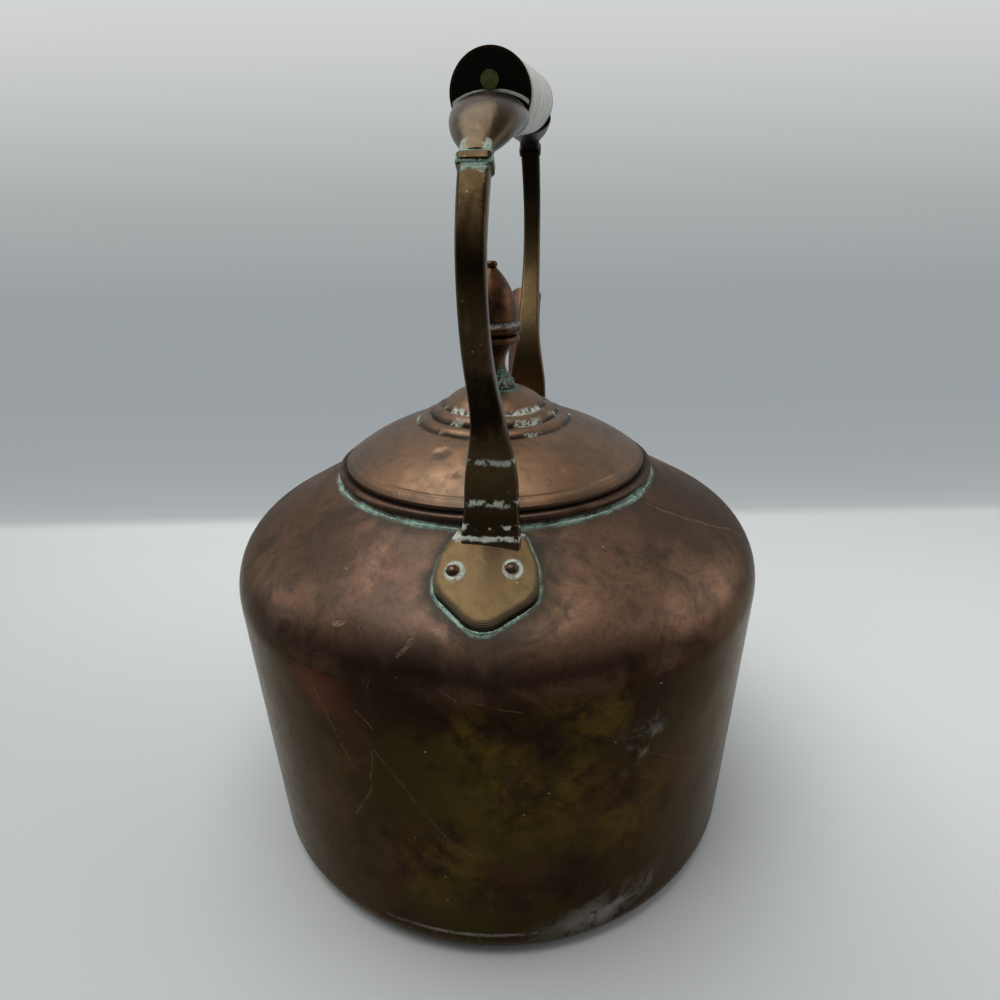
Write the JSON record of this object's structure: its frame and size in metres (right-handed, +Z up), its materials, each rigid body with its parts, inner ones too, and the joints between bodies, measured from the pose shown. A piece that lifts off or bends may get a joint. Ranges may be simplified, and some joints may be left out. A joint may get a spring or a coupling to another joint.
{
  "type": "fireside kettle",
  "caption": "Round copper fireside kettle with a lift-off domed lid, acorn knob, swan-neck spout and a fixed bar handle on two riveted uprights.",
  "frame": {"origin": "centre of the flat underside of the base, on the axis of the body", "axes": "+Z up along the body axis, +X towards the spout, -X towards the rear upright of the handle"},
  "size_m": [0.2631, 0.2198, 0.3139],
  "materials": {
    "base_copper": "dark worn copper",
    "wall_copper": "dark brown patina on copper",
    "shoulder_copper": "brown patina on copper, pink where rubbed",
    "collar_copper": "worn copper",
    "spout_copper": "brown patina on copper",
    "ring_copper": "brown patina on copper",
    "rear_upright_brass": "dark cast brass",
    "front_upright_brass": "dark cast brass",
    "grip_metal": "worn grey metal tube",
    "rod_iron": "iron rod",
    "rear_rivet_copper": "copper",
    "front_rivet_copper": "copper",
    "rear_rove_copper": "copper",
    "front_rove_copper": "copper",
    "lid_copper": "worn copper",
    "flange_copper": "copper",
    "knob_brass": "cast brass",
    "washer_brass": "brass"
  },
  "bodies": {
    "kettle": {"body_base": "base_copper", "body_wall": "wall_copper", "body_shoulder": "shoulder_copper", "neck_collar": "collar_copper", "spout_tube": "spout_copper", "spout_foot_ring": "ring_copper", "rear_upright": "rear_upright_brass", "front_upright": "front_upright_brass", "handle_grip": "grip_metal", "handle_tie_rod": "rod_iron", "rear_rivets": "rear_rivet_copper", "front_rivets": "front_rivet_copper", "rear_rivet_roves": "rear_rove_copper", "front_rivet_roves": "front_rove_copper"},
    "lid": {"lid_dome": "lid_copper", "lid_flange": "flange_copper", "lid_knob": "knob_brass", "knob_washer": "washer_brass"}
  },
  "joints": [
    {"name": "lid_lift", "type": "slide", "parent": "kettle", "child": "lid", "axis": [0, 0, 1], "range_m": [0, 0.035]}
  ]
}
